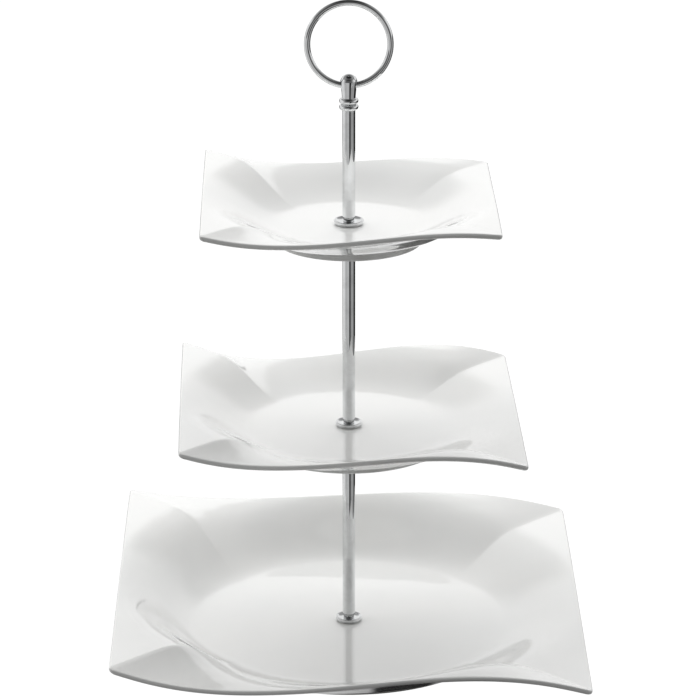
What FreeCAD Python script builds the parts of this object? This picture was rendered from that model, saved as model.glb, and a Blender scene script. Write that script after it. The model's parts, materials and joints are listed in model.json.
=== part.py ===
import FreeCAD
import Part
import math
import os

os.makedirs("parts", exist_ok=True)

# Tiers, from the table up. Heights of the rim are over the well, from left to right along an edge.
foot_height = 5.5
well_wall = 5.5
tier_pitch = 135.6
plates = [
    {"name": "bottom", "side": 300.0, "well": 100.0, "foot": 99.0, "yaw": 0.57,
     "front": (30.2, 14.6, 23.6, 13.7), "back": (35.6, 28.8, 32.6, 19.7)},
    {"name": "middle", "side": 217.0, "well": 62.5, "foot": 62.0, "yaw": 1.67,
     "front": (21.3, 12.2, 17.4, 10.2), "back": (22.1, 9.2, 18.1, 10.2)},
    {"name": "top", "side": 185.5, "well": 45.0, "foot": 47.0, "yaw": 0.85,
     "front": (20.1, 13.9, 20.1, 19.9), "back": (24.1, 14.4, 17.2, 14.4)},
]
height_stations = (-0.5, -0.2, 0.22, 0.5)
corner_share = 0.012
bow_share = 0.001
lip_wall = 3.6
lip_form = ((0.9, 0.0), (0.25, -0.03), (0.0, 0.1), (0.0, 0.55), (0.3, 0.98), (1.0, 1.0))
wall_run = 1.15
wall_parts = (0.0, 0.07, 0.18, 0.32, 0.47, 0.62, 0.77, 0.88)
belly_shift = 2.0
foot_wall = 5.0
foot_ledge = 3.0
foot_chamfer = 1.0
plate_hole_radius = 3.5
side_points = 11
corner_points = 3

# Rods: a tube closed by a threaded end piece at each end.
rod_radius = 4.1
tube_bore_radius = 3.1
end_fit = 0.03
end_depth = 14.0
neck_radius = 3.5
neck_height = 2.8
cap_height = 1.0

# Threads, drawn plain at their fit.
thread_radius = 2.5
thread_fit = 0.05
head_thread_radius = 2.0
thread_grip = 10.0

# Seats on a plate: soft ring, thin disc and dished collar above, washer and soft ring below.
collar_radii = (8.5, 8.5, 9.5)
disc_inset = 0.5
soft_inset = 1.2
soft_above = 0.4
disc_height = 0.5
collar_floor = 0.8
collar_height = 1.9
collar_lip = 0.8
corner_mid = 1 - math.sqrt(0.5)
soft_below = 1.0
washer_height = 1.0
washer_radius = 8.0
soft_radius = 9.0
clear_hole_radius = 2.6
soft_hole_radius = 3.2

# Foot screw
screw_head_radius = 4.6
screw_head_height = 2.4
cross_width = 1.1
cross_length = 5.0
cross_depth = 1.3

# Handle head and ring
head_base_over_well = 74.7
bead_radius = 6.05
bead_height = 3.8
bead_gap = 0.2
bead_root_radius = 4.3
neck_over_beads = 1.0
head_neck_radius = 4.35
head_radius = 5.4
head_widest_over_base = 17.7
pivot_over_base = 15.8
cross_bore_radius = 2.6
ring_radius = 26.07
wire_radius = 2.0
ring_seat = 0.28
ring_lean = -6.5
ring_gap_degrees = 1.2


def vec(x, y, z):
    return FreeCAD.Vector(x, y, z)


def turned(start, steps):
    """Solid of revolution about Z; a step is a point (r, z) or an arc (mid point, end point)."""
    edges = []
    here = vec(start[0], 0, start[1])
    first = here
    for step in steps:
        if isinstance(step[0], tuple):
            mid = vec(step[0][0], 0, step[0][1])
            there = vec(step[1][0], 0, step[1][1])
            edges.append(Part.Arc(here, mid, there).toShape())
        else:
            there = vec(step[0], 0, step[1])
            edges.append(Part.makeLine(here, there))
        here = there
    edges.append(Part.makeLine(here, first))
    face = Part.Face(Part.Wire(edges))
    return face.revolve(vec(0, 0, 0), vec(0, 0, 1), 360)


def annulus(inner, outer, base, height, edge):
    """Flat ring with its outer corners broken by edge."""
    top = base + height
    return turned((inner, base), [(outer - edge, base), (outer, base + edge),
                                  (outer, top - edge), (outer - edge, top), (inner, top)])


def edge_height(heights, t):
    total = 0.0
    for i, station in enumerate(height_stations):
        weight = 1.0
        for j, other in enumerate(height_stations):
            if i != j:
                weight *= (t - other) / (station - other)
        total += weight * heights[i]
    return total


def rim_height(plate, x, y):
    t = x / plate["side"]
    share = min(max(0.5 + y / plate["side"], 0.0), 1.0)
    blend = share * share * (3 - 2 * share)
    front = edge_height(plate["front"], t)
    back = edge_height(plate["back"], t)
    return front * (1 - blend) + back * blend


def outline(side):
    """Points round a square with rounded corners and slightly bowed sides, anticlockwise."""
    half = side / 2
    radius = corner_share * side
    flat = half - radius
    bow = bow_share * side
    points = []
    for quarter in range(4):
        turn = quarter * math.pi / 2
        local = []
        for i in range(side_points):
            along = -flat + 2 * flat * i / (side_points - 1)
            local.append((half - bow * (along / flat) ** 2, along))
        for i in range(corner_points):
            angle = math.pi / 2 * (i + 1) / (corner_points + 1)
            local.append((flat - bow + radius * math.cos(angle), flat - bow + radius * math.sin(angle)))
        for x, y in local:
            points.append((x * math.cos(turn) - y * math.sin(turn),
                           x * math.sin(turn) + y * math.cos(turn)))
    return points


def bowl(share):
    share = min(max(share, 0.0), 1.0)
    return share * share * (3 - 2 * share)


def spoke(plate, x, y):
    """Control points of one radial section (r, z): well edge, wall, lip, belly, underside."""
    reach = math.hypot(x, y)
    height = rim_height(plate, x, y)
    well = plate["well"]
    under = plate["foot"] + foot_ledge
    run = wall_run * (plate["side"] / 2 - well)

    def point(r, level, shift=0.0):
        rise = bowl((r - well - shift) / run) / bowl((reach - well) / run)
        return (r, level + height * rise)

    section = [point(well + part * (reach - well), 0.0) for part in wall_parts]
    section += [point(reach - inset * lip_wall, -drop * lip_wall) for inset, drop in lip_form]
    for part in reversed(wall_parts[1:]):
        thickness = well_wall + (lip_wall - well_wall) * part
        section.append(point(under + part * (reach - under), -thickness, belly_shift))
    section.append((under, -well_wall))
    return section


def plate_solid(plate):
    points = outline(plate["side"])
    poles = []
    count = len(points)
    for i, (x, y) in enumerate(points):
        angle = math.atan2(y, x)
        before = math.atan2(points[i - 1][1], points[i - 1][0])
        after = math.atan2(points[(i + 1) % count][1], points[(i + 1) % count][0])
        step = ((after - before) % (2 * math.pi)) / 2
        swell = 1 + step * step / 6
        section = spoke(plate, x, y)
        last = len(section) - 1
        row = []
        for k, (r, z) in enumerate(section):
            inward = swell if k in (0, 1, last - 1, last) else 1.0
            row.append(vec(r * inward * math.cos(angle), r * inward * math.sin(angle), z))
        poles.append(row)
    across = len(poles[0])
    round_knots = [float(i) for i in range(count + 1)]
    across_knots = [float(i) for i in range(across - 2)]
    across_mults = [4] + [1] * (across - 4) + [4]
    surface = Part.BSplineSurface()
    surface.buildFromPolesMultsKnots(poles, [1] * (count + 1), across_mults, round_knots,
                                     across_knots, True, False, 3, 3)
    skin = surface.toShape()
    faces = [skin]
    for edge in skin.Edges:
        box = edge.BoundBox
        if box.ZLength < 1e-6:
            faces.append(Part.Face(Part.Wire([edge])))
    shell = Part.makeShell(faces)
    shell.sewShape()
    solid = Part.Solid(shell)
    if solid.Volume < 0:
        solid.reverse()
    foot_outer = plate["foot"]
    foot = turned((foot_outer - foot_wall, -well_wall - foot_height),
                  [(foot_outer - foot_chamfer, -well_wall - foot_height),
                   (foot_outer, -well_wall - foot_height + foot_chamfer),
                   (foot_outer, -well_wall + 1.0), (foot_outer - foot_wall, -well_wall + 1.0)])
    solid = solid.fuse(foot)
    hole = Part.makeCylinder(plate_hole_radius, 3 * well_wall, vec(0, 0, -2 * well_wall))
    solid = solid.cut(hole).removeSplitter()
    solid.rotate(vec(0, 0, 0), vec(0, 0, 1), plate["yaw"])
    return solid


nodes = {}
first_well = foot_height + well_wall
wells = [first_well + tier_pitch * i for i in range(len(plates))]
head_base = wells[2] + head_base_over_well
rod_names = ("lower", "middle", "upper")
stud_radius = thread_radius - thread_fit

for plate, well, rod_name, collar_radius in zip(plates, wells, rod_names, collar_radii):
    name = plate["name"]
    solid = plate_solid(plate)
    solid.translate(vec(0, 0, well))
    nodes[name + "_plate"] = solid

    # Seat above the plate
    level = well
    nodes[name + "_seat_ring"] = annulus(soft_hole_radius, collar_radius - soft_inset, level, soft_above, 0.1)
    level += soft_above
    nodes[name + "_seat_disc"] = annulus(clear_hole_radius, collar_radius - disc_inset, level, disc_height, 0.1)
    level += disc_height
    floor = level + collar_floor
    rim = level + collar_height
    inner_lip = collar_radius - collar_lip
    nodes[name + "_collar"] = turned(
        (clear_hole_radius, level),
        [(collar_radius - collar_lip, level),
         ((collar_radius - collar_lip * corner_mid, level + collar_lip * corner_mid),
          (collar_radius, level + collar_lip)),
         (collar_radius, rim - 0.3), ((collar_radius - collar_lip / 2, rim), (inner_lip, rim - 0.3)),
         ((inner_lip - 1.0, floor + 0.15), (inner_lip - 2.4, floor)), (clear_hole_radius, floor)])

    # Rod: necked end, tube, capped end
    shoulder = floor + neck_height
    nodes[rod_name + "_rod_neck"] = turned(
        (thread_radius, floor),
        [(neck_radius - 0.3, floor), (neck_radius, floor + 0.3), (neck_radius, shoulder),
         (tube_bore_radius - end_fit, shoulder), (tube_bore_radius - end_fit, shoulder + end_depth),
         (thread_radius, shoulder + end_depth)])
    if name == "top":
        rod_top = head_base
        next_thread = head_thread_radius
    else:
        rod_top = well + tier_pitch - well_wall - soft_below - washer_height
        next_thread = thread_radius
    tube_top = rod_top - cap_height
    nodes[rod_name + "_rod_tube"] = turned(
        (tube_bore_radius, shoulder),
        [(rod_radius - 0.4, shoulder), (rod_radius, shoulder + 0.4),
         (rod_radius, tube_top), (tube_bore_radius, tube_top)])
    nodes[rod_name + "_rod_cap"] = turned(
        (next_thread, tube_top - end_depth),
        [(tube_bore_radius - end_fit, tube_top - end_depth), (tube_bore_radius - end_fit, tube_top),
         (rod_radius, tube_top), (rod_radius, rod_top), (next_thread, rod_top)])

    # Seat below the plate
    underside = well - well_wall
    nodes[name + "_under_ring"] = annulus(soft_hole_radius, soft_radius, underside - soft_below, soft_below, 0.2)
    washer_base = underside - soft_below - washer_height
    nodes[name + "_under_washer"] = annulus(clear_hole_radius, washer_radius, washer_base, washer_height, 0.2)

    # What screws up through the plate into the rod above it
    grip_top = shoulder + thread_grip
    if name == "bottom":
        head_bottom = washer_base - screw_head_height
        screw = turned((0, head_bottom),
                       [(screw_head_radius - 1.2, head_bottom),
                        ((screw_head_radius - 0.3, head_bottom + 0.5),
                         (screw_head_radius, head_bottom + 1.5)),
                        (screw_head_radius, washer_base), (stud_radius, washer_base),
                        (stud_radius, grip_top - 0.6), (stud_radius - 0.6, grip_top), (0, grip_top)])
        for turn in (0, 90):
            slot = Part.makeBox(cross_length, cross_width, cross_depth,
                                vec(-cross_length / 2, -cross_width / 2, head_bottom))
            slot.rotate(vec(0, 0, 0), vec(0, 0, 1), turn)
            screw = screw.cut(slot)
        nodes["foot_screw"] = screw
    else:
        stud_base = washer_base - thread_grip
        nodes[name + "_stud"] = turned(
            (0, stud_base),
            [(stud_radius - 0.6, stud_base), (stud_radius, stud_base + 0.6),
             (stud_radius, grip_top - 0.6), (stud_radius - 0.6, grip_top), (0, grip_top)])

# Handle head: two beads, neck, domed top with the cross bore that carries the ring
pivot = head_base + pivot_over_base
widest = head_base + head_widest_over_base
bead_two = head_base + bead_height + bead_gap
beads_top = bead_two + bead_height
neck_level = beads_top + neck_over_beads
bore_top = head_base + thread_grip - 1.0
dome = head_radius * math.sqrt(0.5)
head = turned(
    (head_thread_radius, head_base),
    [(bead_root_radius, head_base),
     ((bead_radius, head_base + bead_height / 2), (bead_root_radius, head_base + bead_height)),
     (bead_root_radius, bead_two),
     ((bead_radius, bead_two + bead_height / 2), (bead_root_radius, beads_top)),
     (head_neck_radius, neck_level),
     ((head_neck_radius + 0.42, (neck_level + widest) / 2), (head_radius, widest)),
     ((dome, widest + dome), (0, widest + head_radius)),
     (0, bore_top), (head_thread_radius, bore_top)])
across = vec(1, 0, 0)
reach = 2 * head_radius
head = head.cut(Part.makeCylinder(cross_bore_radius, 2 * reach, vec(-reach, 0, pivot), across))
nodes["handle_head"] = head

head_stud_radius = head_thread_radius - thread_fit
stud_base = head_base - thread_grip
stud_top = head_base + thread_grip - 2.0
nodes["head_stud"] = turned(
    (0, stud_base),
    [(head_stud_radius - 0.5, stud_base), (head_stud_radius, stud_base + 0.5),
     (head_stud_radius, stud_top - 0.5), (head_stud_radius - 0.5, stud_top), (0, stud_top)])

# Ring: one bent wire whose butt ends meet inside the head
ring_centre = pivot - ring_seat + ring_radius
sweep = 360 - ring_gap_degrees
ring = Part.makeTorus(ring_radius, wire_radius, vec(0, 0, 0), vec(0, 0, 1), 0, 360, sweep)
ring.rotate(vec(0, 0, 0), vec(0, 0, 1), -90 + ring_gap_degrees / 2)
ring.rotate(vec(0, 0, 0), vec(1, 0, 0), 90)
ring.translate(vec(0, 0, ring_centre))
ring.rotate(vec(0, 0, pivot), vec(1, 0, 0), ring_lean)
nodes["ring_handle"] = ring

for name, shape in nodes.items():
    box = shape.optimalBoundingBox()
    print(name, shape.isValid(), len(shape.Solids), round(shape.Volume, 1), round(box.ZMin, 2), round(box.ZMax, 2))
    shape.exportStep("parts/" + name + ".step")
print(len(nodes), "nodes")
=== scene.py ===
import json
import math

import bmesh
import bpy
from mathutils import Matrix, Vector


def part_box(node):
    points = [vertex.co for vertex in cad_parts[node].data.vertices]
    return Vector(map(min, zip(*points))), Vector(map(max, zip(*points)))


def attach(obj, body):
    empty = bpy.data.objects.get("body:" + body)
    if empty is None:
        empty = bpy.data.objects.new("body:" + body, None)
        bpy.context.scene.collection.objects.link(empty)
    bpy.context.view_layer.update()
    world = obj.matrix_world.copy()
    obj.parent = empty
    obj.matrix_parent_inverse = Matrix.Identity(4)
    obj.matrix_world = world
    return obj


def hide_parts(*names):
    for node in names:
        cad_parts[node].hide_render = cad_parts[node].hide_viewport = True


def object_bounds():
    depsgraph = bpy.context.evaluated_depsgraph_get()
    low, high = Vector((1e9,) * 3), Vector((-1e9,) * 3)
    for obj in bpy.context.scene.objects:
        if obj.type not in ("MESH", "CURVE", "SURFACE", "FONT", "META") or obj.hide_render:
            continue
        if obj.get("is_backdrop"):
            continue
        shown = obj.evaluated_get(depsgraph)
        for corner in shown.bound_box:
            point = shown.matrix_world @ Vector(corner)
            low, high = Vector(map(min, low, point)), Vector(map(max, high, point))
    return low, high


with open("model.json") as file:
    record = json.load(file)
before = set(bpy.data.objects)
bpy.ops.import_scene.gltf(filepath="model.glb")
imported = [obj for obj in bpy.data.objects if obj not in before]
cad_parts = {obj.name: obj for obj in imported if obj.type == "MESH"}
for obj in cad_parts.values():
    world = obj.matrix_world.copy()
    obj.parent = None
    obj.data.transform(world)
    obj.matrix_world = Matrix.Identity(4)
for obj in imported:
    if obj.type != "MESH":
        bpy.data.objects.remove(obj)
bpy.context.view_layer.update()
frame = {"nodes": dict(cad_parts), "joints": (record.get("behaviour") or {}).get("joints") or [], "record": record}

scene = bpy.context.scene
mm = 0.001

# one entry a tier, from the table up; heights in mm over the well, left to right along an edge
tiers = [
    {"plate": "bottom", "rod": "lower", "side": 299.9, "well": 100.0, "foot": 99.0, "yaw": 0.57,
     "front": (30.2, 14.6, 23.6, 13.7), "back": (35.6, 28.8, 32.6, 19.7)},
    {"plate": "middle", "rod": "middle", "side": 216.9, "well": 62.5, "foot": 62.0, "yaw": 1.67,
     "front": (21.3, 12.2, 17.4, 10.2), "back": (22.1, 9.2, 18.1, 10.2)},
    {"plate": "top", "rod": "upper", "side": 185.4, "well": 45.0, "foot": 47.0, "yaw": 0.85,
     "front": (20.1, 13.9, 20.1, 19.9), "back": (24.1, 14.4, 17.2, 14.4)},
]


def say(text):
    print("stage:", text)


# helpers for node trees: a value is a number, or another node's output

def feed(tree, value, socket):
    if isinstance(value, bpy.types.NodeSocket):
        tree.links.new(value, socket)
    else:
        socket.default_value = value


def calc(tree, operation, *values, clamp=False):
    node = tree.nodes.new("ShaderNodeMath")
    node.operation = operation
    node.use_clamp = clamp
    for value, socket in zip(values, node.inputs):
        feed(tree, value, socket)
    return node.outputs[0]


def total(tree, *values):
    result = values[0]
    for value in values[1:]:
        result = calc(tree, "ADD", result, value)
    return result


def between(tree, low, high, share):
    gap = calc(tree, "SUBTRACT", high, low)
    return calc(tree, "MULTIPLY_ADD", share, gap, low)


def addSocket(tree, name, kind, default=None, output=False):
    socket = tree.interface.new_socket(name=name, in_out="OUTPUT" if output else "INPUT", socket_type=kind)
    if default is not None:
        socket.default_value = default
    return socket


def linkNode(tree, kind, **values):
    node = tree.nodes.new(kind)
    for name, value in values.items():
        feed(tree, value, node.inputs[name.replace("_", " ")])
    return node


# materials

def noiseTexture(tree, coords, scale, detail=3.0, roughness=0.5):
    node = tree.nodes.new("ShaderNodeTexNoise")
    tree.links.new(coords, node.inputs["Vector"])
    feed(tree, scale, node.inputs["Scale"])
    node.inputs["Detail"].default_value = detail
    node.inputs["Roughness"].default_value = roughness
    return node.outputs["Fac"]


def stretched(tree, coords, x, y, z):
    node = tree.nodes.new("ShaderNodeMapping")
    tree.links.new(coords, node.inputs["Vector"])
    node.inputs["Scale"].default_value = (x, y, z)
    return node.outputs["Vector"]


def ramp(tree, value, low, high, toLow=0.0, toHigh=1.0):
    node = tree.nodes.new("ShaderNodeMapRange")
    node.clamp = True
    for socket, number in zip(node.inputs, (value, low, high, toLow, toHigh)):
        feed(tree, number, socket)
    return node.outputs[0]


def mottleGroup():
    # slow and fast variation of a surface, as two masks
    tree = bpy.data.node_groups.new("surfaceMottle", "ShaderNodeTree")
    addSocket(tree, "Coarse Scale", "NodeSocketFloat", 20.0)
    addSocket(tree, "Fine Scale", "NodeSocketFloat", 400.0)
    addSocket(tree, "Cloud", "NodeSocketFloat", output=True)
    addSocket(tree, "Grain", "NodeSocketFloat", output=True)
    source = tree.nodes.new("NodeGroupInput")
    result = tree.nodes.new("NodeGroupOutput")
    coords = tree.nodes.new("ShaderNodeTexCoord").outputs["Object"]
    cloud = noiseTexture(tree, coords, source.outputs["Coarse Scale"], 4.0, 0.55)
    grain = noiseTexture(tree, coords, source.outputs["Fine Scale"], 5.0, 0.65)
    tree.links.new(ramp(tree, cloud, 0.32, 0.68), result.inputs["Cloud"])
    tree.links.new(ramp(tree, grain, 0.3, 0.7), result.inputs["Grain"])
    return tree


def wearGroup():
    # fine scratches and handling marks on bright metal
    tree = bpy.data.node_groups.new("metalWear", "ShaderNodeTree")
    addSocket(tree, "Scratch Density", "NodeSocketFloat", 0.5)
    addSocket(tree, "Scratches", "NodeSocketFloat", output=True)
    addSocket(tree, "Smudges", "NodeSocketFloat", output=True)
    source = tree.nodes.new("NodeGroupInput")
    result = tree.nodes.new("NodeGroupOutput")
    coords = tree.nodes.new("ShaderNodeTexCoord").outputs["Object"]
    around = noiseTexture(tree, stretched(tree, coords, 160, 160, 9000), 1.0, 2.0)
    along = noiseTexture(tree, stretched(tree, coords, 5200, 5200, 70), 1.0, 2.0)
    edge = calc(tree, "SUBTRACT", 0.78, calc(tree, "MULTIPLY", source.outputs["Scratch Density"], 0.15))
    both = calc(tree, "MAXIMUM", ramp(tree, around, edge, 0.8), ramp(tree, along, edge, 0.8))
    smudge = noiseTexture(tree, coords, 130.0, 4.0, 0.6)
    tree.links.new(both, result.inputs["Scratches"])
    tree.links.new(ramp(tree, smudge, 0.42, 0.7), result.inputs["Smudges"])
    return tree


mottle = mottleGroup()
wear = wearGroup()


def placeGroup(tree, group, **values):
    node = tree.nodes.new("ShaderNodeGroup")
    node.node_tree = group
    for name, value in values.items():
        node.inputs[name.replace("_", " ")].default_value = value
    return node


def newMaterial(name, **values):
    material = bpy.data.materials.new(name)
    material.use_nodes = True
    shader = material.node_tree.nodes["Principled BSDF"]
    for key, value in values.items():
        shader.inputs[key.replace("_", " ")].default_value = value
    return material, material.node_tree, shader


def tint(tree, share, low, high):
    node = tree.nodes.new("ShaderNodeMix")
    node.data_type = "RGBA"
    feed(tree, share, node.inputs["Factor"])
    for socket, colour in zip((node.inputs[6], node.inputs[7]), (low, high)):
        feed(tree, colour if isinstance(colour, bpy.types.NodeSocket) else (*colour, 1.0), socket)
    return node.outputs[2]


def bumped(tree, height, strength, distance):
    node = tree.nodes.new("ShaderNodeBump")
    node.inputs["Strength"].default_value = strength
    node.inputs["Distance"].default_value = distance
    tree.links.new(height, node.inputs["Height"])
    return node.outputs["Normal"]


glazeLook = {"white": (0.90, 0.90, 0.885), "pooled": (0.875, 0.88, 0.87), "clay": (0.78, 0.74, 0.68),
             "clayGrain": (0.86, 0.83, 0.78), "speck": (0.7, 0.68, 0.64), "speckShare": 0.25, "coat": 0.6,
             "gloss": 0.045, "glossSpread": 0.03, "clayRoughness": 0.75, "waviness": 0.35, "ripple": 0.0004,
             "rippleStrength": 0.25}


def porcelain():
    material, tree, shader = newMaterial("glazedPorcelain", IOR=1.5, Coat_Roughness=0.02, Coat_IOR=1.55)
    marks = placeGroup(tree, mottle, Coarse_Scale=16.0, Fine_Scale=900.0)
    bare = tree.nodes.new("ShaderNodeAttribute")
    bare.attribute_name = "bareClay"
    bareMask = ramp(tree, calc(tree, "ADD", bare.outputs["Fac"],
                               calc(tree, "MULTIPLY", marks.outputs["Grain"], 0.15)), 0.5, 0.62)
    glaze = tint(tree, marks.outputs["Cloud"], glazeLook["white"], glazeLook["pooled"])
    speck = ramp(tree, marks.outputs["Grain"], 0.97, 1.0, 0.0, glazeLook["speckShare"])
    glaze = tint(tree, speck, glaze, glazeLook["speck"])
    clay = tint(tree, marks.outputs["Grain"], glazeLook["clay"], glazeLook["clayGrain"])
    tree.links.new(tint(tree, bareMask, glaze, clay), shader.inputs["Base Color"])
    gloss = between(tree, glazeLook["gloss"], glazeLook["gloss"] + glazeLook["glossSpread"],
                    marks.outputs["Cloud"])
    tree.links.new(between(tree, gloss, glazeLook["clayRoughness"], bareMask), shader.inputs["Roughness"])
    tree.links.new(between(tree, glazeLook["coat"], 0.0, bareMask), shader.inputs["Coat Weight"])
    ripple = total(tree, calc(tree, "MULTIPLY", marks.outputs["Cloud"], glazeLook["waviness"]),
                   calc(tree, "MULTIPLY", marks.outputs["Grain"], bareMask))
    tree.links.new(bumped(tree, ripple, glazeLook["rippleStrength"], glazeLook["ripple"]),
                   shader.inputs["Normal"])
    return material


chromeLook = {"bright": (0.76, 0.77, 0.775), "dull": (0.66, 0.665, 0.67), "roughness": 0.015,
              "smudgeRoughness": 0.03, "scratchRoughness": 0.12, "scratchDepth": 0.00002}


def chrome():
    material, tree, shader = newMaterial("brightChrome", Metallic=1.0)
    marks = placeGroup(tree, wear, Scratch_Density=0.5)
    colour = tint(tree, marks.outputs["Smudges"], chromeLook["bright"], chromeLook["dull"])
    tree.links.new(colour, shader.inputs["Base Color"])
    rough = total(tree, chromeLook["roughness"],
                  calc(tree, "MULTIPLY", marks.outputs["Smudges"], chromeLook["smudgeRoughness"]),
                  calc(tree, "MULTIPLY", marks.outputs["Scratches"], chromeLook["scratchRoughness"]))
    tree.links.new(rough, shader.inputs["Roughness"])
    tree.links.new(bumped(tree, marks.outputs["Scratches"], 0.08, chromeLook["scratchDepth"]),
                   shader.inputs["Normal"])
    return material


steelLook = {"dark": (0.50, 0.51, 0.53), "light": (0.66, 0.66, 0.64), "roughness": 0.28,
             "grainRoughness": 0.16, "scratchRoughness": 0.2, "grainDepth": 0.00003}


def zincSteel():
    material, tree, shader = newMaterial("zincSteel", Metallic=1.0)
    marks = placeGroup(tree, mottle, Coarse_Scale=240.0, Fine_Scale=2600.0)
    scuffs = placeGroup(tree, wear, Scratch_Density=1.0)
    colour = tint(tree, marks.outputs["Cloud"], steelLook["dark"], steelLook["light"])
    tree.links.new(colour, shader.inputs["Base Color"])
    rough = total(tree, steelLook["roughness"],
                  calc(tree, "MULTIPLY", marks.outputs["Grain"], steelLook["grainRoughness"]),
                  calc(tree, "MULTIPLY", scuffs.outputs["Scratches"], steelLook["scratchRoughness"]))
    tree.links.new(rough, shader.inputs["Roughness"])
    tree.links.new(bumped(tree, marks.outputs["Grain"], 0.2, steelLook["grainDepth"]),
                   shader.inputs["Normal"])
    return material


rubberLook = {"name": "blackRubber", "ior": 1.5, "cloudScale": 180.0, "grainScale": 3200.0,
              "dark": (0.018, 0.018, 0.018), "light": (0.05, 0.049, 0.047), "roughness": (0.62, 0.88),
              "grainStrength": 0.4, "grainDepth": 0.00005}
nylonLook = {"name": "clearNylon", "ior": 1.53, "cloudScale": 200.0, "grainScale": 2400.0,
             "dark": (0.80, 0.79, 0.74), "light": (0.87, 0.865, 0.83), "roughness": (0.22, 0.42),
             "grainStrength": 0.2, "grainDepth": 0.00003}


def moulded(look):
    material, tree, shader = newMaterial(look["name"], IOR=look["ior"])
    marks = placeGroup(tree, mottle, Coarse_Scale=look["cloudScale"], Fine_Scale=look["grainScale"])
    grain = marks.outputs["Grain"]
    tree.links.new(tint(tree, marks.outputs["Cloud"], look["dark"], look["light"]),
                   shader.inputs["Base Color"])
    tree.links.new(between(tree, *look["roughness"], grain), shader.inputs["Roughness"])
    tree.links.new(bumped(tree, grain, look["grainStrength"], look["grainDepth"]), shader.inputs["Normal"])
    return material


finishes = {"porcelain": porcelain(), "chrome": chrome(), "steel": zincSteel(),
            "rubber": moulded(rubberLook), "clear_nylon": moulded(nylonLook)}
say("materials made")


# placing finished pieces

def handOver(piece, body, slot, *nodes):
    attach(piece, body)
    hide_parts(*nodes)


def bakeTree(name, tree, mesh, values):
    # runs a geometry tree on a mesh and leaves a plain mesh object
    carrier = bpy.data.objects.new(name + "Carrier", mesh)
    scene.collection.objects.link(carrier)
    modifier = carrier.modifiers.new("shape", "NODES")
    modifier.node_group = tree
    for item in tree.interface.items_tree:
        if item.item_type == "SOCKET" and item.in_out == "INPUT" and item.name in values:
            modifier[item.identifier] = values[item.name]
    bpy.context.view_layer.update()
    evaluated = carrier.evaluated_get(bpy.context.evaluated_depsgraph_get())
    result = bpy.data.meshes.new_from_object(evaluated)
    result.name = name
    carrier.modifiers.clear()
    bpy.data.objects.remove(carrier)
    piece = bpy.data.objects.new(name, result)
    scene.collection.objects.link(piece)
    return piece


# wavy plates: one section, swept round a rounded square whose rim rises and falls

plateForm = {"sideSteps": 18, "cornerSteps": 6, "cornerShare": 0.012, "bowShare": 0.001,
             "lipWall": 3.6, "wellWall": 5.5, "footHeight": 5.5, "footWall": 5.0, "footLedge": 3.0,
             "footEdge": 0.8, "bareBand": 1.6, "rootEdge": 0.9, "holeEdge": 0.3,
             "wallRun": 1.15, "bellyShift": 2.0, "holeRadius": 3.5, "smoothing": 2}
wallParts = (0.0, 0.07, 0.18, 0.32, 0.47, 0.62, 0.77, 0.88)
lipForm = ((0.9, 0.0), (0.25, -0.03), (0.0, 0.1), (0.0, 0.55), (0.3, 0.98), (1.0, 1.0))
stations = (-0.5, -0.2, 0.22, 0.5)


def plateSection(tier):
    # rows of: start radius, share of the way to the rim, radius offset, level, outward shift, bare clay
    form = plateForm
    wall, lip, hole = form["wellWall"], form["lipWall"], form["holeRadius"]
    well, foot = tier["well"], tier["foot"]
    inner = foot - form["footWall"]
    under = foot + form["footLedge"]
    base = -wall - form["footHeight"]
    root, edge, band, mouth = form["rootEdge"], form["footEdge"], form["bareBand"], form["holeEdge"]
    # a shift this large keeps the foot out of the rim's wave
    still = 9
    rows = [(hole, 0, 0, -wall / 2, 0, 0), (hole, 0, 0, -mouth, 0, 0), (hole, 0, mouth, 0, 0, 0)]
    rows += [(share * well, 0, 0, 0, 0, 0) for share in (0.12, 0.35, 0.62, 0.85)]
    rows += [(well, part, 0, 0, 0, 0) for part in wallParts]
    rows += [(well, 1, -inset * lip, -drop * lip, 0, 0) for inset, drop in lipForm]
    rows += [(under, part, 0, -wall - (lip - wall) * part, form["bellyShift"], 0)
             for part in reversed(wallParts[1:])]
    rows += [(under, 0, 0, -wall, still, 0), (foot, 0, root, -wall, 0, 0),
             (foot, 0, 0, -wall - root, still, 0)]
    rows += [(foot, 0, 0, base + band, still, 0), (foot, 0, 0, base + edge, still, 1),
             (foot, 0, -edge, base, still, 1)]
    rows += [(inner, 0, edge, base, still, 1), (inner, 0, 0, base + edge, still, 1),
             (inner, 0, 0, base + band, still, 0)]
    rows += [(inner, 0, 0, -wall - root, 0, 0), (inner, 0, -root, -wall, 0, 0)]
    rows += [(share * inner, 0, 0, -wall, 0, 0) for share in (0.7, 0.4, 0.15)]
    rows += [(hole, 0, mouth, -wall, 0, 0), (hole, 0, 0, -wall + mouth, 0, 0)]
    return rows


def sectionMesh(tier):
    rows = plateSection(tier)
    mesh = bpy.data.meshes.new("plateSection")
    mesh.from_pydata([(row[0] * mm, row[2] * mm, row[3] * mm) for row in rows], [], [])
    for name, column in (("wayOut", 1), ("shiftOut", 4), ("bareRow", 5)):
        layer = mesh.attributes.new(name, "FLOAT", "POINT")
        layer.data.foreach_set("value", [float(row[column]) for row in rows])
    return mesh, len(rows)


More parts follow.
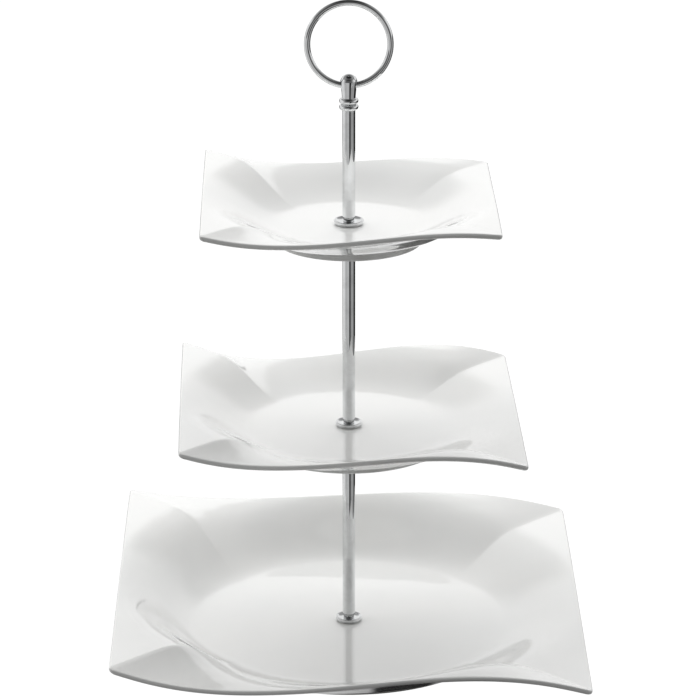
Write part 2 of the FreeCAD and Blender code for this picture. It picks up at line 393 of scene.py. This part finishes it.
def plateTree(rowCount):
    form = plateForm
    quarter = form["sideSteps"] + form["cornerSteps"]
    around = 4 * quarter
    tree = bpy.data.node_groups.new("wavyPlate", "GeometryNodeTree")
    addSocket(tree, "Geometry", "NodeSocketGeometry")
    for name in ("Side", "Corner Radius", "Bow", "Well Radius", "Wall Run", "Well Level", "Turn"):
        addSocket(tree, name, "NodeSocketFloat", 0.0)
    for edge in ("Front", "Back"):
        for number in range(1, 5):
            addSocket(tree, f"{edge} Height {number}", "NodeSocketFloat", 0.0)
    addSocket(tree, "Smoothing", "NodeSocketInt", 2)
    addSocket(tree, "Finish", "NodeSocketMaterial")
    addSocket(tree, "Geometry", "NodeSocketGeometry", output=True)
    given = tree.nodes.new("NodeGroupInput").outputs

    grid = linkNode(tree, "GeometryNodeMeshGrid", Size_X=float(around), Size_Y=float(rowCount),
                    Vertices_X=around + 1, Vertices_Y=rowCount + 1)
    position = tree.nodes.new("GeometryNodeInputPosition").outputs[0]
    place = linkNode(tree, "ShaderNodeSeparateXYZ", Vector=position)
    step = calc(tree, "ROUND", calc(tree, "ADD", place.outputs["X"], around / 2))
    step = calc(tree, "FLOORED_MODULO", step, float(around))
    row = calc(tree, "ROUND", calc(tree, "ADD", place.outputs["Y"], rowCount / 2))
    row = calc(tree, "FLOORED_MODULO", row, float(rowCount))

    # the section's own numbers for this row
    def fromSection(kind, source):
        sample = tree.nodes.new("GeometryNodeSampleIndex")
        sample.data_type = kind
        tree.links.new(given["Geometry"], sample.inputs["Geometry"])
        tree.links.new(source, sample.inputs["Value"])
        tree.links.new(row, sample.inputs["Index"])
        return sample.outputs["Value"]

    def named(name):
        node = tree.nodes.new("GeometryNodeInputNamedAttribute")
        node.data_type = "FLOAT"
        node.inputs["Name"].default_value = name
        return fromSection("FLOAT", node.outputs["Attribute"])

    rowPlace = fromSection("FLOAT_VECTOR", position)
    start, offset, level = linkNode(tree, "ShaderNodeSeparateXYZ", Vector=rowPlace).outputs
    wayOut = named("wayOut")
    shiftOut = calc(tree, "MULTIPLY", named("shiftOut"), mm)
    bareRow = named("bareRow")

    # outline of the rounded square, one quarter at a time
    half = calc(tree, "MULTIPLY", given["Side"], 0.5)
    flat = calc(tree, "SUBTRACT", half, given["Corner Radius"])
    quarterIndex = calc(tree, "FLOOR", calc(tree, "DIVIDE", calc(tree, "ADD", step, 0.01), float(quarter)))
    local = calc(tree, "SUBTRACT", step, calc(tree, "MULTIPLY", quarterIndex, float(quarter)))
    alongShare = ramp(tree, local, 0.0, float(form["sideSteps"]), -1.0, 1.0)
    cornerShare = ramp(tree, local, float(form["sideSteps"]), float(quarter))
    inCorner = calc(tree, "GREATER_THAN", local, form["sideSteps"] + 0.5)
    bend = calc(tree, "MULTIPLY", cornerShare, math.pi / 2)
    bowed = calc(tree, "MULTIPLY", given["Bow"], calc(tree, "POWER", alongShare, 2.0))
    centre = calc(tree, "SUBTRACT", flat, given["Bow"])
    cornerX = calc(tree, "MULTIPLY_ADD", given["Corner Radius"], calc(tree, "COSINE", bend), centre)
    cornerY = calc(tree, "MULTIPLY_ADD", given["Corner Radius"], calc(tree, "SINE", bend), centre)
    localX = between(tree, calc(tree, "SUBTRACT", half, bowed), cornerX, inCorner)
    localY = between(tree, calc(tree, "MULTIPLY", flat, alongShare), cornerY, inCorner)
    swing = calc(tree, "MULTIPLY", quarterIndex, math.pi / 2)
    cosine = calc(tree, "COSINE", swing)
    sine = calc(tree, "SINE", swing)
    x = calc(tree, "SUBTRACT", calc(tree, "MULTIPLY", localX, cosine), calc(tree, "MULTIPLY", localY, sine))
    y = calc(tree, "ADD", calc(tree, "MULTIPLY", localX, sine), calc(tree, "MULTIPLY", localY, cosine))
    reach = calc(tree, "SQRT", calc(tree, "ADD", calc(tree, "MULTIPLY", x, x), calc(tree, "MULTIPLY", y, y)))

    # rim height: a cubic through four heights along the front and the back, blended from one to the other
    t = calc(tree, "DIVIDE", x, given["Side"])
    share = calc(tree, "ADD", calc(tree, "DIVIDE", y, given["Side"]), 0.5, clamp=True)
    blend = calc(tree, "MULTIPLY", calc(tree, "MULTIPLY", share, share),
                 calc(tree, "MULTIPLY_ADD", share, -2.0, 3.0))
    weights = []
    for station in stations:
        weight = 1.0
        for other in stations:
            if other != station:
                part = calc(tree, "DIVIDE", calc(tree, "SUBTRACT", t, other), station - other)
                weight = calc(tree, "MULTIPLY", weight, part)
        weights.append(weight)

    def edgeHeight(edge):
        return total(tree, *[calc(tree, "MULTIPLY", given[f"{edge} Height {number}"], weight)
                             for number, weight in enumerate(weights, 1)])

    front = edgeHeight("Front")
    back = edgeHeight("Back")
    rim = between(tree, front, back, blend)

    radius = calc(tree, "ADD", between(tree, start, reach, wayOut), offset)
    scaleOut = calc(tree, "DIVIDE", radius, reach)

    def bowl(distance):
        s = calc(tree, "DIVIDE", distance, given["Wall Run"], clamp=True)
        return calc(tree, "MULTIPLY", calc(tree, "MULTIPLY", s, s), calc(tree, "MULTIPLY_ADD", s, -2.0, 3.0))

    wayUp = calc(tree, "DIVIDE",
                 bowl(calc(tree, "SUBTRACT", calc(tree, "SUBTRACT", radius, given["Well Radius"]), shiftOut)),
                 bowl(calc(tree, "SUBTRACT", reach, given["Well Radius"])))
    newPlace = linkNode(tree, "ShaderNodeCombineXYZ", X=calc(tree, "MULTIPLY", x, scaleOut),
                        Y=calc(tree, "MULTIPLY", y, scaleOut),
                        Z=calc(tree, "MULTIPLY_ADD", wayUp, rim, level))
    moved = linkNode(tree, "GeometryNodeSetPosition", Geometry=grid.outputs["Mesh"],
                     Position=newPlace.outputs[0])
    marked = tree.nodes.new("GeometryNodeStoreNamedAttribute")
    marked.data_type = "FLOAT"
    marked.domain = "POINT"
    marked.inputs["Name"].default_value = "bareClay"
    tree.links.new(moved.outputs[0], marked.inputs["Geometry"])
    tree.links.new(bareRow, marked.inputs["Value"])
    closed = linkNode(tree, "GeometryNodeMergeByDistance", Geometry=marked.outputs[0], Distance=0.000005)
    smooth = linkNode(tree, "GeometryNodeSubdivisionSurface", Mesh=closed.outputs[0],
                      Level=given["Smoothing"])
    shaded = linkNode(tree, "GeometryNodeSetShadeSmooth", Geometry=smooth.outputs[0])
    lift = linkNode(tree, "ShaderNodeCombineXYZ", Z=given["Well Level"])
    turn = linkNode(tree, "ShaderNodeCombineXYZ", Z=given["Turn"])
    placed = linkNode(tree, "GeometryNodeTransform", Geometry=shaded.outputs[0], Translation=lift.outputs[0],
                      Rotation=turn.outputs[0])
    real = linkNode(tree, "GeometryNodeRealizeInstances", Geometry=placed.outputs[0])
    finished = linkNode(tree, "GeometryNodeSetMaterial", Geometry=real.outputs[0], Material=given["Finish"])
    tree.links.new(finished.outputs[0], tree.nodes.new("NodeGroupOutput").inputs[0])
    return tree


def outwards(piece):
    work = bmesh.new()
    work.from_mesh(piece.data)
    bmesh.ops.recalc_face_normals(work, faces=work.faces)
    work.to_mesh(piece.data)
    work.free()


plateNodes = None
for tier in tiers:
    mesh, rowCount = sectionMesh(tier)
    if plateNodes is None:
        plateNodes = plateTree(rowCount)
    low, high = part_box(tier["plate"] + "_plate")
    wellLevel = low.z + (plateForm["footHeight"] + plateForm["wellWall"]) * mm
    tier["wellLevel"] = wellLevel
    values = {"Side": tier["side"] * mm, "Corner Radius": plateForm["cornerShare"] * tier["side"] * mm,
              "Bow": plateForm["bowShare"] * tier["side"] * mm, "Well Level": wellLevel,
              "Well Radius": tier["well"] * mm,
              "Wall Run": plateForm["wallRun"] * (tier["side"] / 2 - tier["well"]) * mm,
              "Turn": math.radians(tier["yaw"]), "Smoothing": plateForm["smoothing"],
              "Finish": finishes["porcelain"]}
    for number in range(4):
        values[f"Front Height {number + 1}"] = tier["front"][number] * mm
        values[f"Back Height {number + 1}"] = tier["back"][number] * mm
    plate = bakeTree(tier["plate"] + "PorcelainPlate", plateNodes, mesh, values)
    outwards(plate)
    handOver(plate, "stand", "porcelain", tier["plate"] + "_plate")
say("plates made")


# turned metal: a closed profile of (radius, height, corner radius) in mm, spun round the rod's axis

def roundCorners(profile, steps=5):
    points = []
    count = len(profile)
    for i, (r, z, corner) in enumerate(profile):
        if corner <= 0:
            points.append((r, z))
            continue
        before = profile[i - 1]
        after = profile[(i + 1) % count]
        ends = []
        for other in (before, after):
            length = math.hypot(other[0] - r, other[1] - z)
            share = min(corner / length, 0.49)
            ends.append((r + (other[0] - r) * share, z + (other[1] - z) * share))
        for k in range(steps + 1):
            s = k / steps
            a, b, c = (1 - s) ** 2, 2 * s * (1 - s), s ** 2
            points.append((a * ends[0][0] + b * r + c * ends[1][0], a * ends[0][1] + b * z + c * ends[1][1]))
    return points


def arcPoints(start, middle, end, steps):
    # points of the circle through three places, without the first
    (ax, ay), (bx, by), (cx, cy) = start, middle, end
    d = 2 * (ax * (by - cy) + bx * (cy - ay) + cx * (ay - by))
    sa, sb, sc = ax * ax + ay * ay, bx * bx + by * by, cx * cx + cy * cy
    ux = (sa * (by - cy) + sb * (cy - ay) + sc * (ay - by)) / d
    uy = (sa * (cx - bx) + sb * (ax - cx) + sc * (bx - ax)) / d
    first = math.atan2(ay - uy, ax - ux)
    last = math.atan2(cy - uy, cx - ux)
    via = math.atan2(by - uy, bx - ux)
    sweep = (last - first) % (2 * math.pi)
    if (via - first) % (2 * math.pi) > sweep:
        sweep -= 2 * math.pi
    size = math.hypot(ax - ux, ay - uy)
    return [(ux + size * math.cos(first + sweep * k / steps), uy + size * math.sin(first + sweep * k / steps))
            for k in range(1, steps + 1)]


sharpAngle = math.radians(38)


def shadeSoft(work):
    for face in work.faces:
        face.smooth = True
    for edge in work.edges:
        edge.smooth = edge.calc_face_angle(0) <= sharpAngle


def spin(name, points, baseZ, around=96):
    # points run round a closed section; a point on the axis becomes a pole
    work = bmesh.new()
    rings = []
    angles = [2 * math.pi * k / around for k in range(around)]
    for r, z in points:
        height = baseZ + z * mm
        if r < 1e-6:
            rings.append([work.verts.new((0, 0, height))])
            continue
        rings.append([work.verts.new((r * mm * math.cos(angle), r * mm * math.sin(angle), height))
                      for angle in angles])
    for i, ring in enumerate(rings):
        following = rings[(i + 1) % len(rings)]
        if len(ring) == 1 and len(following) == 1:
            continue
        for k in range(around):
            n = (k + 1) % around
            corners = [ring[k % len(ring)], ring[n % len(ring)], following[n % len(following)],
                       following[k % len(following)]]
            work.faces.new(list(dict.fromkeys(corners)))
    bmesh.ops.recalc_face_normals(work, faces=work.faces)
    shadeSoft(work)
    mesh = bpy.data.meshes.new(name)
    work.to_mesh(mesh)
    work.free()
    mesh.materials.append(finishes["chrome"])
    piece = bpy.data.objects.new(name, mesh)
    scene.collection.objects.link(piece)
    return piece


rodForm = {"bore": 3.1, "fit": 0.03, "thread": 2.5, "capHeight": 1.0,
           "neckRadius": 3.5, "neckHeight": 2.8, "neckEdge": 0.3, "softEdge": 0.35, "seamEdge": 0.06,
           "topEdge": 0.12, "topThread": 2.0}
collarForm = {"floor": 0.8, "lip": 0.8, "dish": 2.4, "hole": 2.6, "footEdge": 0.7, "rimEdge": 0.35,
              "lipFoot": 0.5, "dishEdge": 1.0}
discForm = {"lowEdge": 0.12, "topEdge": 0.2}


def spanOf(node):
    # base level in metres, height and outer radius in mm
    low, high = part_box(node)
    return low.z, (high.z - low.z) / mm, high.x / mm


for tier in tiers:
    name, rod = tier["plate"], tier["rod"]
    base, tall, radius = spanOf(name + "_collar")
    hole, floor = collarForm["hole"], collarForm["floor"]
    lip = radius - collarForm["lip"]
    lipFoot = collarForm["lipFoot"]
    collar = roundCorners([
        (hole, 0, 0), (radius, 0, collarForm["footEdge"]), (radius, tall, collarForm["rimEdge"]),
        (lip, tall, collarForm["rimEdge"]), (lip - lipFoot, floor + lipFoot, lipFoot),
        (lip - collarForm["dish"], floor, collarForm["dishEdge"]), (hole, floor, 0)])
    handOver(spin(name + "Collar", collar, base), "stand", "chrome", name + "_collar")

    base, tall, radius = spanOf(name + "_seat_disc")
    disc = roundCorners([(hole, 0, 0), (radius, 0, discForm["lowEdge"]), (radius, tall, discForm["topEdge"]),
                         (hole, tall, 0)], 3)
    handOver(spin(name + "SeatDisc", disc, base), "stand", "chrome", name + "_seat_disc")

    base, tall, radius = spanOf(rod + "_rod_neck")
    thread, bore = rodForm["thread"], rodForm["bore"]
    inner = bore - rodForm["fit"]
    waist, shoulder = rodForm["neckRadius"], rodForm["neckHeight"]
    neck = roundCorners([(thread, 0, 0), (waist, 0, rodForm["neckEdge"]), (waist, shoulder, 0.05),
                         (inner, shoulder, 0), (inner, tall, 0), (thread, tall, 0)], 3)
    handOver(spin(rod + "RodNeck", neck, base), "stand", "chrome", rod + "_rod_neck")

    base, tall, radius = spanOf(rod + "_rod_tube")
    seam = rodForm["seamEdge"]
    tube = roundCorners([(bore, 0, 0), (radius, 0, rodForm["softEdge"]), (radius, tall * 0.5, 0),
                         (radius, tall, seam), (bore, tall, 0)])
    handOver(spin(rod + "RodTube", tube, base, 128), "stand", "chrome", rod + "_rod_tube")

    base, tall, radius = spanOf(rod + "_rod_cap")
    bottom = tall - rodForm["capHeight"]
    hole = rodForm["topThread"] if rod == "upper" else thread
    cap = roundCorners([(hole, 0, 0), (inner, 0, 0), (inner, bottom, 0), (radius, bottom, seam),
                        (radius, tall, rodForm["topEdge"]), (hole, tall, 0)], 3)
    handOver(spin(rod + "RodCap", cap, base, 128), "stand", "chrome", rod + "_rod_cap")
say("rods and collars made")


# handle head: two beads under a tapering neck and a domed top, with a hole across it for the ring

headForm = {"bead": 6.05, "beadHeight": 3.8, "beadGap": 0.2, "root": 4.3, "neck": 4.35, "neckOver": 1.0,
            "radius": 5.4, "widest": 17.7, "pivot": 15.8, "hole": 2.0, "holeDepth": 9.0, "crossBore": 2.6,
            "neckSwell": 0.42}


def handleHead():
    form = headForm
    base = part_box("handle_head")[0].z
    points = [(form["hole"], 0.0), (form["root"], 0.0)]
    level = 0.0
    for bead in range(2):
        points += arcPoints((form["root"], level), (form["bead"], level + form["beadHeight"] / 2),
                            (form["root"], level + form["beadHeight"]), 16)
        level += form["beadHeight"]
        if bead == 0:
            level += form["beadGap"]
            points.append((form["root"], level))
    neck = (form["neck"], level + form["neckOver"])
    points.append(neck)
    wide = (form["radius"], form["widest"])
    points += arcPoints(neck, (form["neck"] + form["neckSwell"], (neck[1] + wide[1]) / 2), wide, 24)
    dome = form["radius"] * math.sqrt(0.5)
    points += arcPoints(wide, (dome, form["widest"] + dome), (0.0, form["widest"] + form["radius"]), 20)
    points[-1] = (0.0, form["widest"] + form["radius"])
    points += [(0.0, form["holeDepth"]), (form["hole"], form["holeDepth"])]
    head = spin("handleHead", points, base, 128)

    # the cross hole, a straight bore cut through the head
    work = bmesh.new()
    pivot = base + form["pivot"] * mm
    turn = Matrix.Rotation(math.pi / 2, 4, "Y")
    bmesh.ops.create_cone(work, cap_ends=True, segments=64, radius1=form["crossBore"] * mm,
                          radius2=form["crossBore"] * mm, depth=30 * mm, matrix=turn)
    bmesh.ops.translate(work, verts=work.verts, vec=(0, 0, pivot))
    mesh = bpy.data.meshes.new("crossDrill")
    work.to_mesh(mesh)
    work.free()
    drill = bpy.data.objects.new("crossDrill", mesh)
    scene.collection.objects.link(drill)
    cut = head.modifiers.new("crossHole", "BOOLEAN")
    cut.operation = "DIFFERENCE"
    cut.object = drill
    cut.solver = "EXACT"
    bpy.context.view_layer.update()
    evaluated = head.evaluated_get(bpy.context.evaluated_depsgraph_get())
    result = bpy.data.meshes.new_from_object(evaluated)
    head.modifiers.clear()
    head.data = result
    bpy.data.objects.remove(drill)
    work = bmesh.new()
    work.from_mesh(head.data)
    shadeSoft(work)
    work.to_mesh(head.data)
    work.free()
    return head


handOver(handleHead(), "stand", "chrome", "handle_head")


# ring: one wire bent round an arc, its two ends meeting inside the head

ringForm = {"radius": 26.07, "wire": 2.0, "gapDegrees": 1.2, "lean": -6.5, "seat": 0.28,
            "steps": 256, "around": 40}


def ringTree():
    tree = bpy.data.node_groups.new("bentWire", "GeometryNodeTree")
    addSocket(tree, "Geometry", "NodeSocketGeometry")
    for name in ("Ring Radius", "Wire Radius", "Gap Angle", "Lean", "Pivot Level", "Centre Height"):
        addSocket(tree, name, "NodeSocketFloat", 0.0)
    addSocket(tree, "Steps", "NodeSocketInt", 128)
    addSocket(tree, "Wire Steps", "NodeSocketInt", 32)
    addSocket(tree, "Finish", "NodeSocketMaterial")
    addSocket(tree, "Geometry", "NodeSocketGeometry", output=True)
    given = tree.nodes.new("NodeGroupInput").outputs
    arc = tree.nodes.new("GeometryNodeCurveArc")
    arc.mode = "RADIUS"
    feed(tree, given["Steps"], arc.inputs["Resolution"])
    radiusSocket = [s for s in arc.inputs if s.name == "Radius" and s.enabled][0]
    feed(tree, given["Ring Radius"], radiusSocket)
    feed(tree, calc(tree, "MULTIPLY_ADD", given["Gap Angle"], 0.5, -math.pi / 2), arc.inputs["Start Angle"])
    feed(tree, calc(tree, "SUBTRACT", 2 * math.pi, given["Gap Angle"]), arc.inputs["Sweep Angle"])
    wire = tree.nodes.new("GeometryNodeCurvePrimitiveCircle")
    feed(tree, given["Wire Steps"], wire.inputs["Resolution"])
    feed(tree, given["Wire Radius"], [s for s in wire.inputs if s.name == "Radius" and s.enabled][0])
    tube = linkNode(tree, "GeometryNodeCurveToMesh", Curve=arc.outputs[0], Profile_Curve=wire.outputs[0],
                    Fill_Caps=True)
    shaded = linkNode(tree, "GeometryNodeSetShadeSmooth", Geometry=tube.outputs[0])
    upright = linkNode(tree, "GeometryNodeTransform", Geometry=shaded.outputs[0])
    upright.inputs["Rotation"].default_value = (math.pi / 2, 0, 0)
    raised = linkNode(tree, "GeometryNodeTransform", Geometry=upright.outputs[0],
                      Translation=linkNode(tree, "ShaderNodeCombineXYZ", Z=given["Centre Height"]).outputs[0])
    leant = linkNode(tree, "GeometryNodeTransform", Geometry=raised.outputs[0],
                     Rotation=linkNode(tree, "ShaderNodeCombineXYZ", X=given["Lean"]).outputs[0],
                     Translation=linkNode(tree, "ShaderNodeCombineXYZ", Z=given["Pivot Level"]).outputs[0])
    real = linkNode(tree, "GeometryNodeRealizeInstances", Geometry=leant.outputs[0])
    finished = linkNode(tree, "GeometryNodeSetMaterial", Geometry=real.outputs[0], Material=given["Finish"])
    tree.links.new(finished.outputs[0], tree.nodes.new("NodeGroupOutput").inputs[0])
    return tree


pivotLevel = frame["joints"][0]["pos_m"][2]
ring = bakeTree("ringHandle", ringTree(), bpy.data.meshes.new("ringSeed"), {
    "Ring Radius": ringForm["radius"] * mm, "Wire Radius": ringForm["wire"] * mm,
    "Gap Angle": math.radians(ringForm["gapDegrees"]), "Lean": math.radians(ringForm["lean"]),
    "Pivot Level": pivotLevel, "Centre Height": (ringForm["radius"] - ringForm["seat"]) * mm,
    "Steps": ringForm["steps"], "Wire Steps": ringForm["around"], "Finish": finishes["chrome"]})
outwards(ring)
handOver(ring, "ring", "chrome", "ring_handle")
say("head and ring made")


# the fittings that stay as they come, under their own finishes
slotOf = {part["node"]: part["material_slot"] for part in frame["record"]["subparts"]}
for node, piece in frame["nodes"].items():
    piece.data.materials.clear()
    piece.data.materials.append(finishes[slotOf[node]])


# floor, light and camera

# brightness of the room round the horizon, in degrees to the right of the viewer, as mirror finishes show it
roomForm = {"strength": 1.0, "mirrored": 0.95, "above": 1.0, "front": 0.22,
            "around": ((-180, 1.0), (-171, 1.0), (-168, 0.05), (-140, 0.08), (-132, 0.95), (-75, 0.85),
                       (-55, 0.5), (-8, 0.62), (7, 0.45), (10, 0.01), (30, 0.01), (34, 0.36), (88, 0.42),
                       (96, 0.02), (169, 0.02), (172, 1.0)),
            "upwards": ((0.0, 0.95), (0.42, 1.0), (0.54, 0.42), (0.82, 0.3), (0.92, 0.04), (1.0, 0.02)),
            "frontShade": (-0.75, -0.1)}
floorForm = {"size": 40.0, "colour": (0.21, 0.21, 0.205), "cloud": (0.19, 0.19, 0.19), "shadowShare": 0.05,
             "glow": 1.1}


def setStops(bands, levels):
    stops = bands.color_ramp.elements
    while len(stops) > 1:
        stops.remove(stops[-1])
    for index, (place, level) in enumerate(levels):
        stop = stops[0] if index == 0 else stops.new(place)
        stop.position = place
        stop.color = (level, level, level, 1)


def horizonBands(tree, x, y):
    # the room's brightness in a direction, as a colour
    angle = calc(tree, "ARCTAN2", x, calc(tree, "MULTIPLY", y, -1.0))
    bands = tree.nodes.new("ShaderNodeValToRGB")
    tree.links.new(ramp(tree, angle, -math.pi, math.pi), bands.inputs[0])
    setStops(bands, [((degrees + 180) / 360, level) for degrees, level in roomForm["around"]])
    return bands.outputs[0]


def mixedShader(tree, share, first, second):
    mix = tree.nodes.new("ShaderNodeMixShader")
    feed(tree, share, mix.inputs[0])
    tree.links.new(first, mix.inputs[1])
    tree.links.new(second, mix.inputs[2])
    return mix.outputs[0]


def glowing(tree, colour, strength):
    node = tree.nodes.new("ShaderNodeEmission")
    feed(tree, colour, node.inputs["Color"])
    node.inputs["Strength"].default_value = strength
    return node.outputs[0]


def floorMaterial():
    material, tree, shader = newMaterial("studioFloor", Roughness=0.9)
    coords = tree.nodes.new("ShaderNodeTexCoord").outputs["Object"]
    cloud = noiseTexture(tree, coords, 3.0, 3.0)
    tree.links.new(tint(tree, cloud, floorForm["colour"], floorForm["cloud"]), shader.inputs["Base Color"])
    x, y, z = linkNode(tree, "ShaderNodeSeparateXYZ", Vector=coords).outputs
    rays = tree.nodes.new("ShaderNodeLightPath").outputs
    # for glossy rays the floor glows with the room's light and dark bands: painted reflections that mirror
    # finishes show
    mirrored = mixedShader(tree, rays["Is Glossy Ray"], shader.outputs[0],
                           glowing(tree, horizonBands(tree, x, y), roomForm["mirrored"]))
    seen = calc(tree, "MULTIPLY", rays["Is Camera Ray"], 1 - floorForm["shadowShare"])
    shown = mixedShader(tree, seen, mirrored, glowing(tree, (1, 1, 1, 1), floorForm["glow"]))
    tree.links.new(shown, tree.nodes["Material Output"].inputs["Surface"])
    return material


half = floorForm["size"] / 2
floorMesh = bpy.data.meshes.new("floor")
floorMesh.from_pydata([(-half, -half, 0), (half, -half, 0), (half, half, 0), (-half, half, 0)], [],
                      [(0, 1, 2, 3)])
floorMesh.materials.append(floorMaterial())
floor = bpy.data.objects.new("floor", floorMesh)
scene.collection.objects.link(floor)
floor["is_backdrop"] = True


def room():
    world = bpy.data.worlds.new("studio")
    scene.world = world
    world.use_nodes = True
    tree = world.node_tree
    direction = tree.nodes.new("ShaderNodeTexCoord").outputs["Generated"]
    x, y, z = linkNode(tree, "ShaderNodeSeparateXYZ", Vector=direction).outputs
    rays = tree.nodes.new("ShaderNodeLightPath").outputs
    front = ramp(tree, y, -0.75, 0.45, roomForm["front"], 1.0)
    soft = tint(tree, front, (0, 0, 0), (roomForm["above"],) * 3)
    upwards = tree.nodes.new("ShaderNodeValToRGB")
    tree.links.new(z, upwards.inputs[0])
    setStops(upwards, roomForm["upwards"])
    # what faces the viewer is dark above the floor's bands, and so is the ceiling
    openShare = ramp(tree, y, *roomForm["frontShade"], 0.12, 1.0)
    sides = tint(tree, openShare, (0, 0, 0), upwards.outputs[0])
    mirrored = tint(tree, ramp(tree, z, 0.03, 0.07), horizonBands(tree, x, y), sides)
    shade = tree.nodes["Background"]
    tree.links.new(tint(tree, rays["Is Glossy Ray"], soft, mirrored), shade.inputs["Color"])
    shade.inputs["Strength"].default_value = roomForm["strength"]
    plain = tree.nodes.new("ShaderNodeBackground")
    plain.inputs["Strength"].default_value = 1.0
    tree.links.new(mixedShader(tree, rays["Is Camera Ray"], shade.outputs[0], plain.outputs[0]),
                   tree.nodes["World Output"].inputs["Surface"])


lampForm = {
    "overhead": {"place": (-0.2, 1.1, 1.5), "aim": (0, 0, 0.1), "size": (1.8, 1.2), "watts": 17},
    "leftBox": {"place": (-1.6, 0.2, 1.0), "aim": (0, 0, 0.2), "size": (1.0, 1.4), "watts": 3},
}


def lamps():
    for name, form in lampForm.items():
        light = bpy.data.lights.new(name, "AREA")
        light.shape = "RECTANGLE"
        light.size, light.size_y = form["size"]
        light.energy = form["watts"]
        lamp = bpy.data.objects.new(name, light)
        lamp.location = form["place"]
        lamp.rotation_mode = "QUATERNION"
        lamp.rotation_quaternion = (Vector(form["aim"]) - lamp.location).to_track_quat("-Z", "Y")
        lamp.visible_glossy = False
        scene.collection.objects.link(lamp)


cameraForm = {"place": (0.00075, -2.2967, 0.9702), "down": 18.59, "lens": 194.4}


def camera():
    data = bpy.data.cameras.new("camera")
    data.sensor_width = 36
    data.lens = cameraForm["lens"]
    data.clip_start, data.clip_end = 0.05, 100
    view = bpy.data.objects.new("camera", data)
    view.location = cameraForm["place"]
    view.rotation_euler = (math.radians(90 - cameraForm["down"]), 0, 0)
    scene.collection.objects.link(view)
    scene.camera = view


room()
lamps()
camera()
scene.view_settings.view_transform = "Standard"
scene.view_settings.look = "None"
say("floor, light and camera set")

low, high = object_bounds()
